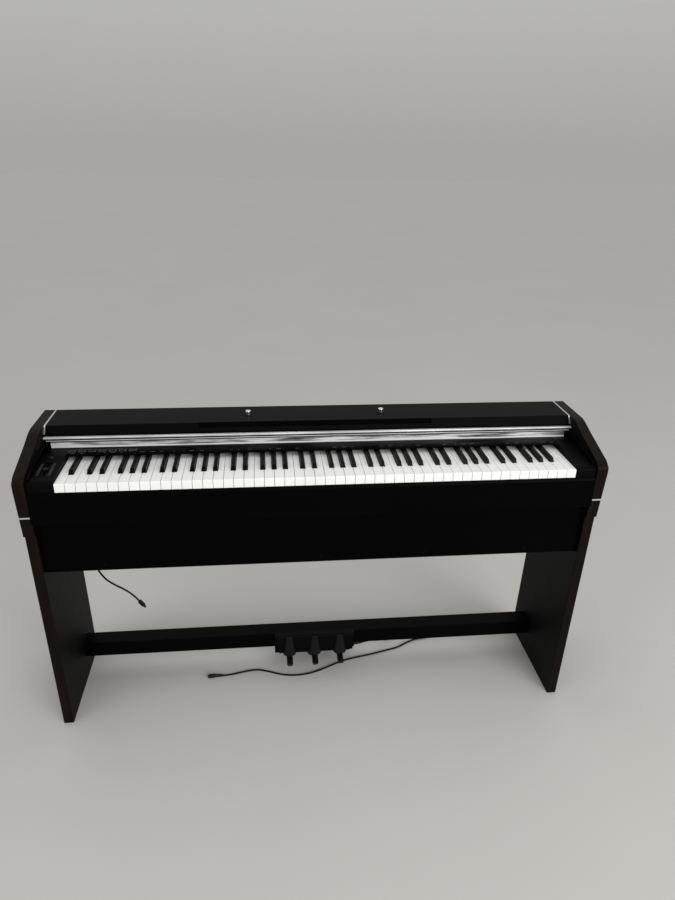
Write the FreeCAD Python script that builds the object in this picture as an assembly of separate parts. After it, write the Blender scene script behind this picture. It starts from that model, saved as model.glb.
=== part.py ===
import FreeCAD, Part
import math
import os

# Digital piano on its stand, in millimetres.
# The layout is measured from three planes: x = 0 is the middle of the cabinet, y = 0 is the front
# plane of the white keys with +Y to the rear, and z = 0 is the floor. Each piece is moved forward
# by ORIGIN_Y when it is written, so that the origin is the middle of the base.

V = FreeCAD.Vector

# ---- driving dimensions ----
WIDTH = 1386.0            # over the side panels
HEIGHT = 809.0            # floor to the top board
PANEL_T = 26.0            # side panels and legs
FRONT_Y = -7.0            # foremost point of the side panels
CASE_REAR_Y = 294.0       # back of the cabinet
LEG_REAR_Y = 339.0        # back of the legs at the floor
ORIGIN_Y = (FRONT_Y + LEG_REAR_Y) / 2

OUTER_X = WIDTH / 2
INNER_X = OUTER_X - PANEL_T
CASE_BOTTOM_Z = 605.0     # the side panels end here and the legs begin

# keyboard
WHITE_PITCH = 23.5
WHITE_GAP = 1.0
WHITE_COUNT = 52
KEYS_X0 = -605.8          # left edge of the lowest key
KEYS_END_X = KEYS_X0 + WHITE_COUNT * WHITE_PITCH
KEY_TOP_Z = 741.5
KEY_FRONT_H = 21.0
KEY_REAR_Y = 228.0
BLACK_FRONT_Y = 48.0
BLACK_REAR_Y = 136.0      # the raised part ends here, under the control strip
BLACK_RISE = 10.2
BLACK_BASE_W = 11.0
BLACK_TOP_W = 8.6
BLACK_CLEAR = 1.0
NOTCH_CLEAR = 1.8         # in front of a black key, whose front swings forward when it is pressed
PIVOT_Y = 222.0
PIVOT_Z = 712.0
PIVOT_R = 2.0
PIVOT_FIT = 0.05

# control strip, band and key cover
STRIP_FRONT_Y = 122.0
STRIP_TOP_Z = 756.0
STRIP_T = 2.8
BAND_Y = 170.0
BAND_TOP_Z = 772.0
RAIL_X = 661.0            # inner side of the cover's guide rails
COVER_SLOPE = 9.0         # degrees that the cover drops as it comes forward
COVER_Z = 778.0           # underside of the front leaf at BAND_Y
COVER_T = 4.0
COVER_REAR_Y = 262.0
LIP_FRONT_Y = 164.5
LIP_DEPTH = 8.0
LIP_Z = (774.2, 785.2)
BAND_HALF_X = 652.0

# top board
TOP_BEND = (186.0, HEIGHT)  # the flat top ends here and the slanted front facet begins
FACET_FOOT = (174.0, 790.0)
TOP_T = 11.0
NOSING_REAR_Y = 194.0
NOSING_BOTTOM_Z = 787.0
TRIM_W = 4.0
REST_HALF_X = 295.0       # rebate and groove for the music rest
REST_WALL_Y = 188.0       # the wall that the music rest leans on
REBATE_Z = 798.0
GROOVE_FRONT_Y = 180.5
GROOVE_Z = 794.5
KNOB_X = {"left": -174.0, "right": 171.0}
KNOB_Y = 238.0
STUD_R = 2.8

# stand
BED_Z = (640.0, 652.0)
KNEE_Y = (27.0, 42.0)
KNEE_Z = (491.0, 640.0)
BAR_Y = (222.0, 272.0)
BAR_Z = (67.0, 113.0)
BAR_T = 14.0

# pedals
PEDAL_PITCH = 75.0
PEDAL_AXLE_Y = 268.0
PEDAL_AXLE_Z = 47.0
PEDAL_AXLE_R = 3.0
PEDAL_TIP_Y = 158.0
PEDAL_HALF_W = 9.0
PEDAL_Z = (44.5, 49.5)
PEDAL_BOX_HALF_X = 118.0
PEDAL_BOX_WALL = 3.0
PEDAL_BOX_FRONT_Y = 200.0

# cords
CORD_R = 2.6
LEAD_R = 2.6


# ---- helpers ----
def box(x, y, z):
    """A block from three (low, high) pairs."""
    return Part.makeBox(x[1] - x[0], y[1] - y[0], z[1] - z[0], V(x[0], y[0], z[0]))


def rod(radius, start, end):
    """A round bar from one point to another."""
    return Part.makeCylinder(radius, (end - start).Length, start, end - start)


def cone(radius_a, radius_b, start, end):
    """A tapered round bar."""
    return Part.makeCone(radius_a, radius_b, (end - start).Length, start, end - start)


def corner_arc(before, corner, after, radius):
    """The arc that rounds one corner, as (first point, middle point, last point)."""
    to_before = (before - corner).normalize()
    to_after = (after - corner).normalize()
    half_turn = (math.pi - to_before.getAngle(to_after)) / 2
    reach = radius * math.tan(half_turn)
    inward = (to_before + to_after).normalize()
    middle = corner + inward * (radius / math.cos(half_turn) - radius)
    return corner + to_before * reach, middle, corner + to_after * reach


def rounded_edges(points, radii, closed):
    """Straight edges joined by tangent arcs; radii maps a point's index to its radius."""
    count = len(points)
    arcs = {}
    for i, radius in radii.items():
        arcs[i] = corner_arc(points[i - 1], points[i], points[(i + 1) % count], radius)
    edges = []
    for i in range(count if closed else count - 1):
        j = (i + 1) % count
        start = arcs[i][2] if i in arcs else points[i]
        end = arcs[j][0] if j in arcs else points[j]
        if (end - start).Length > 1e-4:
            edges.append(Part.LineSegment(start, end).toShape())
        if j in arcs:
            edges.append(Part.Arc(*arcs[j]).toShape())
    return edges


def prism(profile, x, radii=None):
    """A (y, z) outline extruded along X between the two values in x."""
    points = [V(x[0], y, z) for y, z in profile]
    wire = Part.Wire(Part.__sortEdges__(rounded_edges(points, radii or {}, True)))
    return Part.Face(wire).extrude(V(x[1] - x[0], 0, 0))


def plan_prism(outline, z):
    """An (x, y) outline extruded along Z between the two values in z."""
    points = [V(x, y, z[0]) for x, y in outline]
    return Part.Face(Part.makePolygon(points + points[:1])).extrude(V(0, 0, z[1] - z[0]))


def soften(shape, radius, wanted):
    """Rounds the edges for which wanted(edge) is true."""
    edges = [edge for edge in shape.Edges if wanted(edge)]
    return shape.makeFillet(radius, edges)


def along_x(edge):
    low, high = edge.BoundBox.YLength, edge.BoundBox.ZLength
    return low < 1e-3 and high < 1e-3


def mirrored(shape):
    """The same piece on the other side of the cabinet."""
    return shape.mirror(V(0, 0, 0), V(1, 0, 0))


def save(name, *shapes):
    """Writes one node as STEP, moved so that the origin is the middle of the base."""
    whole = shapes[0] if len(shapes) == 1 else Part.makeCompound(list(shapes))
    whole = whole.copy()
    whole.translate(V(0, -ORIGIN_Y, 0))
    if not whole.isValid():
        print("NOT VALID", name)
    whole.exportStep("parts/" + name + ".step")


# ---- cabinet sides, legs and boards ----
ACCENT_Z = (655.0, 659.0)
SIDE_PROFILE = [(CASE_REAR_Y, CASE_BOTTOM_Z), (CASE_REAR_Y, HEIGHT), (158.0, HEIGHT), (106.0, 790.0),
                (8.0, 759.0), (FRONT_Y, 747.0), (FRONT_Y, 730.0), (5.0, CASE_BOTTOM_Z)]
SIDE_RADII = {2: 90.0, 3: 120.0, 4: 16.0, 5: 9.0, 6: 60.0}
SIDE_X = (INNER_X, OUTER_X)


def side_front_y(z):
    """Front edge of a side panel below its tip."""
    share = (SIDE_PROFILE[6][1] - z) / (SIDE_PROFILE[6][1] - CASE_BOTTOM_Z)
    return FRONT_Y + share * (SIDE_PROFILE[7][0] - FRONT_Y)


def make_sides():
    panel = prism(SIDE_PROFILE, SIDE_X, SIDE_RADII)
    groove_y = side_front_y(ACCENT_Z[0])
    groove = box((INNER_X - 1, OUTER_X + 1), (groove_y - 20, groove_y + 9), ACCENT_Z)
    panel = panel.cut(groove)
    save("side_panel_right", panel)
    save("side_panel_left", mirrored(panel))


def make_legs():
    profile = [(36.0, 0.0), (LEG_REAR_Y, 0.0), (300.0, CASE_BOTTOM_Z), (12.0, CASE_BOTTOM_Z)]
    leg = prism(profile, SIDE_X)
    leg = soften(leg, 2.0, lambda e: e.BoundBox.ZLength > 500)
    save("leg_right", leg)
    save("leg_left", mirrored(leg))


def make_top():
    end_x = INNER_X - TRIM_W
    under_z = HEIGHT - TOP_T
    profile = [(CASE_REAR_Y, under_z), (CASE_REAR_Y, HEIGHT), TOP_BEND, FACET_FOOT,
               (FACET_FOOT[0], NOSING_BOTTOM_Z), (NOSING_REAR_Y, NOSING_BOTTOM_Z), (NOSING_REAR_Y, under_z)]
    board = prism(profile, (-end_x, end_x), {2: 3.0, 3: 1.5})
    ends = (-REST_HALF_X, REST_HALF_X)
    rebate = box(ends, (FACET_FOOT[0] - 5, REST_WALL_Y), (REBATE_Z, HEIGHT + 1))
    groove = box(ends, (GROOVE_FRONT_Y, REST_WALL_Y), (GROOVE_Z, REBATE_Z + 1))
    board = board.cut([rebate, groove])
    for x in KNOB_X.values():
        board = board.cut(rod(STUD_R + 0.4, V(x, KNOB_Y, under_z - 1), V(x, KNOB_Y, HEIGHT + 1)))
    save("top_board", board)


def make_silver_trims():
    depth = 4.5
    low = HEIGHT - depth
    profile = [(CASE_REAR_Y - 2, low), (CASE_REAR_Y - 2, HEIGHT), TOP_BEND, FACET_FOOT,
               (FACET_FOOT[0] + depth, FACET_FOOT[1] - 2), (TOP_BEND[0] + 2.5, low)]
    trim = prism(profile, (INNER_X - TRIM_W + 0.05, INNER_X - 0.05), {2: 3.5, 3: 1.0})
    front = side_front_y(ACCENT_Z[1])
    accent = box(SIDE_X, (front - 0.6, front + 8.0), (ACCENT_Z[0] + 0.05, ACCENT_Z[1] - 0.05))
    save("silver_trims", trim, mirrored(trim), accent, mirrored(accent))


def make_boards():
    inside = (-INNER_X, INNER_X)
    rear = box(inside, (284.0, CASE_REAR_Y), (BED_Z[0], HEIGHT - TOP_T))
    for x in JACK_X:
        rear = rear.cut(rod(JACK_R, V(x, 280, JACK_Z), V(x, 300, JACK_Z)))
    save("rear_panel", rear)

    bed = box(inside, (10.0, 284.0), BED_Z)
    for x in (-SPEAKER_X, SPEAKER_X):
        bed = bed.cut(rod(50.0, V(x, SPEAKER_Y, 630), V(x, SPEAKER_Y, 660)))
    bed = bed.cut(rod(LEAD_GLAND_R + 0.2, V(LEAD_X, LEAD_Y, 630), V(LEAD_X, LEAD_Y, 660)))
    save("key_bed", bed)

    slip_profile = [(10.0, 640.0), (10.0, 696.5), (-1.5, 696.5), (-1.5, 719.5), (-2.5, 719.5),
                    (-6.0, 714.0), (-6.0, 640.0)]
    save("case_front", prism(slip_profile, inside, {4: 1.2, 5: 4.0, 6: 3.0}))

    knee = box(inside, KNEE_Y, KNEE_Z)
    save("knee_board", soften(knee, 1.5, lambda e: along_x(e) and e.BoundBox.YMin < KNEE_Y[0] + 1))
    caps = [rod(5.0, V(x, KNEE_Y[0] - 1.2, 508.0), V(x, KNEE_Y[0], 508.0)) for x in CAP_X]
    caps = [soften(cap, 0.6, lambda e: e.BoundBox.YMin < KNEE_Y[0] - 1) for cap in caps]
    save("screw_caps", *caps)


CAP_X = (-525.0, -263.0, 0.0, 263.0, 525.0)
JACK_X = (-180.0, -140.0, -100.0)
JACK_Z = 690.0
JACK_R = 3.25
SPEAKER_X = 430.0
SPEAKER_Y = 130.0
LEAD_X = -630.0
LEAD_Y = 252.0
LEAD_GLAND_R = 6.0


# ---- keyboard ----
# The seven white keys from A up, and how far each black key stands from the middle of its gap
WHITE_NOTES = ("a", "b", "c", "d", "e", "f", "g")
BLACK_AFTER = {"a": 3.3, "c": -2.3, "d": 2.3, "f": -3.3, "g": 0.0}


def white_note(i):
    return WHITE_NOTES[i % 7]


def black_x(i):
    """Middle of the black key after white key i, or None."""
    if i < 0 or i >= WHITE_COUNT - 1 or white_note(i) not in BLACK_AFTER:
        return None
    return KEYS_X0 + (i + 1) * WHITE_PITCH + BLACK_AFTER[white_note(i)]


def key_foot(x):
    """The foot that carries the pivot bore, with the pivot rod's running fit."""
    foot = box((x - 3.5, x + 3.5), (214.0, 230.0), (706.0, KEY_TOP_Z - KEY_FRONT_H + 0.5))
    bore = rod(PIVOT_R + PIVOT_FIT, V(x - 5, PIVOT_Y, PIVOT_Z), V(x + 5, PIVOT_Y, PIVOT_Z))
    return foot.cut(bore)


def white_key(i):
    left = KEYS_X0 + i * WHITE_PITCH + WHITE_GAP / 2
    right = left + WHITE_PITCH - WHITE_GAP
    reach = BLACK_BASE_W / 2 + BLACK_CLEAR
    tail_left, tail_right = left, right
    if black_x(i - 1) is not None:
        tail_left = black_x(i - 1) + reach
    if black_x(i) is not None:
        tail_right = black_x(i) - reach
    notch_y = BLACK_FRONT_Y - NOTCH_CLEAR
    outline = [(left, 0), (right, 0), (right, notch_y), (tail_right, notch_y), (tail_right, KEY_REAR_Y),
               (tail_left, KEY_REAR_Y), (tail_left, notch_y), (left, notch_y)]
    tidy = [p for n, p in enumerate(outline) if p != outline[n - 1]]
    straight = [p for n, p in enumerate(tidy)
                if not (tidy[n - 1][0] == p[0] == tidy[(n + 1) % len(tidy)][0])]
    key = plan_prism(straight, (KEY_TOP_Z - KEY_FRONT_H, KEY_TOP_Z))
    key = soften(key, 1.6, lambda e: along_x(e) and e.BoundBox.YMax < 1 and e.BoundBox.ZMin > KEY_TOP_Z - 1)
    return key.fuse(key_foot((tail_left + tail_right) / 2)).removeSplitter()


def black_key(i):
    x = black_x(i)
    base_z = KEY_TOP_Z - KEY_FRONT_H + 4

    def ring(half, front, z):
        corners = [V(x - half, front, z), V(x + half, front, z), V(x + half, BLACK_REAR_Y, z),
                   V(x - half, BLACK_REAR_Y, z)]
        return Part.makePolygon(corners + corners[:1])

    top_z = KEY_TOP_Z + BLACK_RISE
    half = BLACK_BASE_W / 2
    lower = box((x - half, x + half), (BLACK_FRONT_Y, KEY_REAR_Y), (base_z, KEY_TOP_Z - 1))
    upper = Part.makeLoft([ring(half, BLACK_FRONT_Y, KEY_TOP_Z - 1),
                           ring(BLACK_TOP_W / 2, BLACK_FRONT_Y + 5, top_z)], True, True)
    upper = soften(upper, 1.2, lambda e: e.BoundBox.ZMin > top_z - 0.5 and e.BoundBox.YMin < BLACK_REAR_Y - 1)
    neck = box((x - 3.5, x + 3.5), (210.0, KEY_REAR_Y), (KEY_TOP_Z - KEY_FRONT_H, base_z + 1))
    return upper.fuse([lower, neck, key_foot(x)]).removeSplitter()


def make_keys():
    groups = {}
    for i in range(WHITE_COUNT):
        groups.setdefault("keys_" + white_note(i), []).append(white_key(i))
        if black_x(i) is not None:
            groups.setdefault("keys_" + white_note(i) + "_sharp", []).append(black_key(i))
    for name in sorted(groups):
        save(name, *groups[name])


def make_key_frame():
    half = 640.0
    under_keys = (KEYS_X0 - 0.4, KEYS_END_X + 0.4)
    plate = box((-half, half), (5.0, 240.0), (697.0, 700.0))
    front_wall = box((-half, half), (12.0, 16.0), (BED_Z[1], 697.0))
    rear_wall = box((-half, half), (236.0, 240.0), (BED_Z[1], 697.0))
    stop_rail = box(under_keys, (5.0, 30.0), (700.0, 710.0))
    ribs = [box(under_keys, y, (700.0, 706.0)) for y in ((132.0, 135.0), (158.0, 161.0))]
    frame = plate.fuse([front_wall, rear_wall, stop_rail] + ribs)
    bracket_x = [KEYS_X0 - 6, KEYS_END_X + 6]
    bracket_x += [KEYS_X0 + (i + 1) * WHITE_PITCH for i in range(WHITE_COUNT) if white_note(i) == "b"]
    bore = rod(PIVOT_R, V(-half, PIVOT_Y, PIVOT_Z), V(half, PIVOT_Y, PIVOT_Z))
    brackets = [box((x - 1.0, x + 1.0), (214.0, 230.0), (699.0, 717.0)) for x in bracket_x]
    frame = frame.fuse(brackets).cut(bore).removeSplitter()
    save("key_frame", frame)
    save("key_pivot_rod", rod(PIVOT_R, V(bracket_x[0] - 4, PIVOT_Y, PIVOT_Z),
                              V(bracket_x[1] + 4, PIVOT_Y, PIVOT_Z)))


def make_insides():
    contact_board = box((-600.0, 600.0), (132.0, 161.0), (706.0, 707.6))
    main_board = box((-420.0, -60.0), (262.0, 263.6), (662.0, 752.0))
    heat_sink = box((-400.0, -300.0), (263.6, 278.0), (700.0, 745.0))
    jacks = [box((x - 8, x + 8), (263.6, 284.0), (JACK_Z - 8, JACK_Z + 8)) for x in JACK_X]
    jacks = [jack.cut(rod(JACK_R, V(x, 268, JACK_Z), V(x, 290, JACK_Z))) for jack, x in zip(jacks, JACK_X)]
    power_board = box((150.0, 330.0), (262.0, 263.6), (670.0, 745.0))
    panel_board = box((-604.0, -436.0), (140.0, 172.0), (745.0, 746.6))
    posts = [rod(2.0, V(x, 166.0, 746.0), V(x, 166.0, STRIP_TOP_Z - STRIP_T))
             for x in (-595.0, -520.0, -445.0)]
    save("circuit_boards", contact_board, main_board.fuse([heat_sink] + jacks), power_board,
         panel_board.fuse(posts))
    save("speakers", *[make_speaker(x) for x in (-SPEAKER_X, SPEAKER_X)])


def make_speaker(x):
    def at(z):
        return V(x, SPEAKER_Y, z)
    flange = rod(60.0, at(BED_Z[1]), at(BED_Z[1] + 3))
    basket = cone(48.0, 24.0, at(BED_Z[1] + 3), at(BED_Z[1] + 24))
    magnet = rod(32.0, at(BED_Z[1] + 24), at(BED_Z[1] + 40))
    hollow = cone(46.0, 14.0, at(BED_Z[1] - 1), at(BED_Z[1] + 20))
    return flange.fuse([basket, magnet]).cut(hollow).removeSplitter()


# ---- cheeks, control strip, band and cover ----
CHEEK_NOSE = (6.0, 747.0)
CHEEK_PROFILE = [(-1.2, 700.0), (-1.2, 741.0), CHEEK_NOSE, (STRIP_FRONT_Y, STRIP_TOP_Z),
                 (BAND_Y + 4, STRIP_TOP_Z), (BAND_Y + 4, 700.0)]
CHEEK_RADII = {1: 5.0, 2: 20.0, 3: 8.0}
VOLUME_X = -636.0
VOLUME_Y = (34.0, 84.0)
WELL_Y = (28.0, 90.0)     # the sunken bed around the volume slider
WELL_DEPTH = 2.5
SLIDER_Z = (749.6, 754.2)
POWER_X = -636.0
POWER_Y = 112.0


def cheek_top_z(y):
    """Height of the sloping top of the cheeks."""
    rise = (STRIP_TOP_Z - CHEEK_NOSE[1]) / (STRIP_FRONT_Y - CHEEK_NOSE[0])
    return CHEEK_NOSE[1] + (y - CHEEK_NOSE[0]) * rise


def make_cheeks():
    gap = 1.5
    right = prism(CHEEK_PROFILE, (KEYS_END_X + gap, INNER_X), CHEEK_RADII)
    save("cheek_right", right)
    left = prism(CHEEK_PROFILE, (-INNER_X, KEYS_X0 - gap), CHEEK_RADII)
    low, high = WELL_Y
    well = [(low, cheek_top_z(low) - WELL_DEPTH), (high, cheek_top_z(high) - WELL_DEPTH),
            (high, cheek_top_z(high) + 5), (low, cheek_top_z(low) + 5)]
    left = left.cut(prism(well, (VOLUME_X - 9, VOLUME_X + 9)))
    left = left.cut(box((VOLUME_X - 2, VOLUME_X + 2), VOLUME_Y, (738.0, 765.0)))
    left = left.cut(rod(6.4, V(POWER_X, POWER_Y, 744.0), V(POWER_X, POWER_Y, 765.0)))
    save("cheek_left", left)

    slider_y = (VOLUME_Y[0] + VOLUME_Y[1]) / 2
    slider_ends = (slider_y - 5, slider_y + 5)
    stem = box((VOLUME_X - 1.5, VOLUME_X + 1.5), slider_ends, (741.0, SLIDER_Z[0] + 1))
    cap = box((VOLUME_X - 6, VOLUME_X + 6), slider_ends, SLIDER_Z)
    cap = soften(cap, 1.0, lambda e: e.BoundBox.ZMin > SLIDER_Z[1] - 0.5)
    save("volume_slider", cap.fuse(stem).removeSplitter())

    power = rod(6.0, V(POWER_X, POWER_Y, 747.0), V(POWER_X, POWER_Y, 757.6))
    save("power_button", soften(power, 0.8, lambda e: e.BoundBox.ZMin > 757))


BUTTON_COUNT = 7
BUTTON_X0 = -598.0
BUTTON_PITCH = 24.0
BUTTON_Y = 147.0
BUTTON_SIZE = (14.0, 6.0)


def button_solid(x, grow, z):
    half_x = BUTTON_SIZE[0] / 2 + grow
    half_y = BUTTON_SIZE[1] / 2 + grow
    block = box((x - half_x, x + half_x), (BUTTON_Y - half_y, BUTTON_Y + half_y), z)
    return soften(block, half_y * 0.95, lambda e: e.BoundBox.ZLength > 1)


def make_control_strip():
    ends = (-RAIL_X + 0.2, RAIL_X - 0.2)
    low = STRIP_TOP_Z - STRIP_T
    profile = [(STRIP_FRONT_Y + 0.5, low), (STRIP_FRONT_Y + 0.5, STRIP_TOP_Z), (BAND_Y + 4, STRIP_TOP_Z),
               (BAND_Y + 4, 770.0), (BAND_Y + 8, 770.0), (BAND_Y + 8, low)]
    strip = prism(profile, (KEYS_X0 - 1.3, KEYS_END_X + 1.3), {1: 1.2})
    backing = box(ends, (BAND_Y + 4.2, BAND_Y + 8), (low, 770.0))
    strip = strip.fuse(backing).removeSplitter()
    for n in range(BUTTON_COUNT):
        button_x = BUTTON_X0 + n * BUTTON_PITCH
        strip = strip.cut(button_solid(button_x, 0.3, (low - 1, STRIP_TOP_Z + 1)))
        button = button_solid(button_x, 0.0, (low - 0.6, STRIP_TOP_Z + 1.0))
        button = soften(button, 0.4, lambda e: e.BoundBox.ZMin > STRIP_TOP_Z + 0.9)
        save("function_button_%d" % (n + 1), button)
    save("control_panel", strip)
    band = box((-BAND_HALF_X, BAND_HALF_X), (BAND_Y, BAND_Y + 4), (STRIP_TOP_Z, BAND_TOP_Z))
    save("band_panel", soften(band, 1.0, lambda e: along_x(e) and e.BoundBox.YMin < BAND_Y + 1
                              and e.BoundBox.ZMin > STRIP_TOP_Z + 1))


def cover_plane(y, rise=0.0):
    """Height of the cover's sliding plane, plus a rise, at y."""
    return COVER_Z + rise + (y - BAND_Y) * math.tan(math.radians(COVER_SLOPE))


def cover_slab(y, x_half, low, high):
    profile = [(y[0], cover_plane(y[0], low)), (y[1], cover_plane(y[1], low)),
               (y[1], cover_plane(y[1], high)), (y[0], cover_plane(y[0], high))]
    return prism(profile, (-x_half, x_half))


def make_cover():
    leaf_start = LIP_FRONT_Y + LIP_DEPTH
    save("cover_front", cover_slab((leaf_start, COVER_REAR_Y), INNER_X - 0.8, 0.0, COVER_T))
    save("cover_rear", cover_slab((leaf_start + 2, COVER_REAR_Y), RAIL_X - 1.0, -4.4, -0.8))
    lip = [(LIP_FRONT_Y, LIP_Z[0]), (leaf_start, LIP_Z[0]), (leaf_start, LIP_Z[1]), (LIP_FRONT_Y, LIP_Z[1])]
    lip = prism(lip, (-INNER_X + 0.8, INNER_X - 0.8), {0: 1.2, 3: 1.2})
    groove = box((-INNER_X, INNER_X), (LIP_FRONT_Y - 1, LIP_FRONT_Y + 2.0), (778.6, 781.0))
    lip = lip.cut(groove)
    end_step = box((RAIL_X - 0.6, INNER_X), (LIP_FRONT_Y - 1, leaf_start + 1), (770.0, COVER_Z + 0.3))
    save("cover_lip", lip.cut([end_step, mirrored(end_step)]))
    rail_y = (8.0, 280.0)
    rail = [(rail_y[0], cover_plane(rail_y[0], -3.0)), (rail_y[1], cover_plane(rail_y[1], -3.0)),
            (rail_y[1], cover_plane(rail_y[1], -0.5)), (rail_y[0], cover_plane(rail_y[0], -0.5))]
    rail = prism(rail, (RAIL_X, INNER_X))
    save("guide_rails", rail, mirrored(rail))


KNOB_H = 10.5


def make_knobs():
    for side, x in KNOB_X.items():
        def at(z):
            return V(x, KNOB_Y, HEIGHT + z)
        body = cone(8.6, 7.4, at(0.3), at(4.2))
        cap = rod(7.0, at(4.0), at(KNOB_H))
        cap = soften(cap, 2.2, lambda e: e.BoundBox.ZMin > HEIGHT + KNOB_H - 0.5)
        stud = rod(STUD_R, at(1 - TOP_T), at(1.0))
        save("thumb_knob_" + side, body.fuse([cap, stud]).removeSplitter())


# ---- crossbar and pedals ----
def make_crossbar():
    inside = (-INNER_X, INNER_X)
    top = box(inside, BAR_Y, (BAR_Z[1] - BAR_T, BAR_Z[1]))
    save("crossbar_top", soften(top, 1.5, lambda e: along_x(e) and e.BoundBox.ZMin > BAR_Z[1] - 1))
    low = (BAR_Z[0], BAR_Z[1] - BAR_T)
    front = box(inside, (BAR_Y[0], BAR_Y[0] + 12), low)
    rear = box(inside, (BAR_Y[1] - 12, BAR_Y[1]), low)
    save("crossbar_aprons", front, rear)


PEDAL_BOX_TOP_Z = 118.0
PEDAL_BOX_OUTER = [(PEDAL_BOX_FRONT_Y, 58.0), (PEDAL_BOX_FRONT_Y, PEDAL_BOX_TOP_Z), (221.7, PEDAL_BOX_TOP_Z),
                   (221.7, 66.7), (286.0, 66.7), (286.0, 24.0), (246.0, 24.0)]
PEDAL_BOX_INNER = [(203.0, 60.0), (203.0, 115.0), (218.7, 115.0), (218.7, 63.7), (283.0, 63.7),
                   (283.0, 27.0), (247.2, 27.0)]
PEDAL_NAMES = ("left", "middle", "right")
# A hood's level sections as (height, half width, how far it stands out of the housing)
HOOD_SECTIONS = [(116.5, 10.5, 4.0), (96.0, 12.0, 6.5), (78.0, 14.5, 9.5), (65.0, 18.5, 13.0),
                 (58.5, 19.5, 14.0), (54.5, 17.5, 12.5)]


def pedal_x(n):
    return (n - 1) * PEDAL_PITCH


def corner_wedge(half, rear_y):
    """What is cut away, as far as rear_y, to slant the lower right corner of the housing's front."""
    corners = [(half + 1, 76.0), (half, 76.0), (half - 14, 57.0), (half - 14, 20.0), (half + 1, 20.0)]
    outline = [V(x, 190.0, z) for x, z in corners]
    return Part.Face(Part.makePolygon(outline + outline[:1])).extrude(V(0, rear_y - 190.0, 0))


def make_hood(x):
    rings = []
    for z, half_w, depth in HOOD_SECTIONS:
        centre = V(x, PEDAL_BOX_FRONT_Y, z)
        curve = Part.Ellipse(centre + V(half_w, 0, 0), centre + V(0, depth, 0), centre)
        rings.append(Part.Wire(curve.toShape()))
    return Part.makeLoft(rings, True, False)


def make_pedal_housing():
    half = PEDAL_BOX_HALF_X
    inner_half = half - PEDAL_BOX_WALL
    wedge = corner_wedge(half, 224.0)
    inner_wedge = corner_wedge(inner_half, 224.0 + PEDAL_BOX_WALL)
    shell = prism(PEDAL_BOX_OUTER, (-half, half), {1: 5.0}).cut([wedge, mirrored(wedge)])
    shell = shell.fuse([make_hood(pedal_x(n)) for n in range(3)])
    hollow = prism(PEDAL_BOX_INNER, (-inner_half, inner_half))
    shell = shell.cut(hollow.cut([inner_wedge, mirrored(inner_wedge)]))
    slot_half = PEDAL_HALF_W + 1.5
    for n in range(3):
        x = pedal_x(n)
        shell = shell.cut(box((x - slot_half, x + slot_half), (203.0, 240.0), (22.0, 53.5)))
    ends = [V(side * (half - 1), PEDAL_AXLE_Y, PEDAL_AXLE_Z) for side in (-1, 1)]
    axle = rod(PEDAL_AXLE_R, *ends)
    shell = shell.cut(axle)
    shell = shell.cut(rod(FOOT_STEM_R + 0.05, V(0, FOOT_Y, 20), V(0, FOOT_Y, 30)))
    save("pedal_housing", shell.removeSplitter())
    save("pedal_axle", axle)


def make_pedal(n):
    x = pedal_x(n)
    lever = box((x - PEDAL_HALF_W, x + PEDAL_HALF_W), (PEDAL_TIP_Y, PEDAL_AXLE_Y), PEDAL_Z)
    lever = soften(lever, 6.0, lambda e: e.BoundBox.ZLength > 1 and e.BoundBox.YMax < PEDAL_TIP_Y + 1)
    lever = soften(lever, 1.2, lambda e: e.BoundBox.ZMin > PEDAL_Z[1] - 0.1
                   and e.BoundBox.YMin < PEDAL_AXLE_Y - 1)

    def across(half):
        return V(x - half, PEDAL_AXLE_Y, PEDAL_AXLE_Z), V(x + half, PEDAL_AXLE_Y, PEDAL_AXLE_Z)
    hub = rod(8.0, *across(PEDAL_HALF_W))
    bore = rod(PEDAL_AXLE_R + PIVOT_FIT, *across(20.0))
    save("pedal_" + PEDAL_NAMES[n], lever.fuse(hub).cut(bore).removeSplitter())


FOOT_Y = 264.0
FOOT_STEM_R = 5.0


def make_foot():
    def at(z):
        return V(0, FOOT_Y, z)
    disc = rod(16.0, at(0), at(9))
    disc = soften(disc, 1.5, lambda e: e.BoundBox.ZLength < 0.01)
    stem = rod(FOOT_STEM_R, at(8), at(33))
    save("adjuster_foot", disc.fuse(stem).removeSplitter())


# ---- cords ----
# Chosen by hand: the pedal lead leaves the pedal housing's right side, drops to the floor behind the
# crossbar, turns back there and wanders forward and to the left in front of the crossbar.
FLOOR_Z = CORD_R + 0.1
PEDAL_CORD = [
    (145.0, 240.0, 49.0), (165.0, 248.0, 48.0), (186.0, 260.0, 40.0), (207.0, 277.0, 26.0),
    (228.0, 297.0, 11.0), (252.0, 320.0, FLOOR_Z), (280.0, 345.0, FLOOR_Z), (309.0, 368.0, FLOOR_Z),
    (340.0, 386.0, FLOOR_Z), (371.0, 382.0, FLOOR_Z), (393.0, 361.0, FLOOR_Z), (400.0, 333.0, FLOOR_Z),
    (390.0, 310.0, FLOOR_Z),
    (364.0, 301.0, FLOOR_Z), (331.0, 298.0, FLOOR_Z), (298.0, 283.0, FLOOR_Z), (266.0, 262.0, FLOOR_Z),
    (222.0, 251.0, FLOOR_Z), (175.0, 237.0, FLOOR_Z), (118.0, 226.0, FLOOR_Z), (70.0, 209.0, FLOOR_Z),
    (22.0, 184.0, FLOOR_Z), (-18.0, 169.0, FLOOR_Z), (-62.0, 164.0, FLOOR_Z), (-100.0, 171.0, FLOOR_Z),
    (-134.0, 186.0, FLOOR_Z), (-170.0, 199.0, FLOOR_Z), (-208.0, 194.0, FLOOR_Z), (-248.0, 183.0, FLOOR_Z),
    (-272.0, 181.0, FLOOR_Z)]
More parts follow.
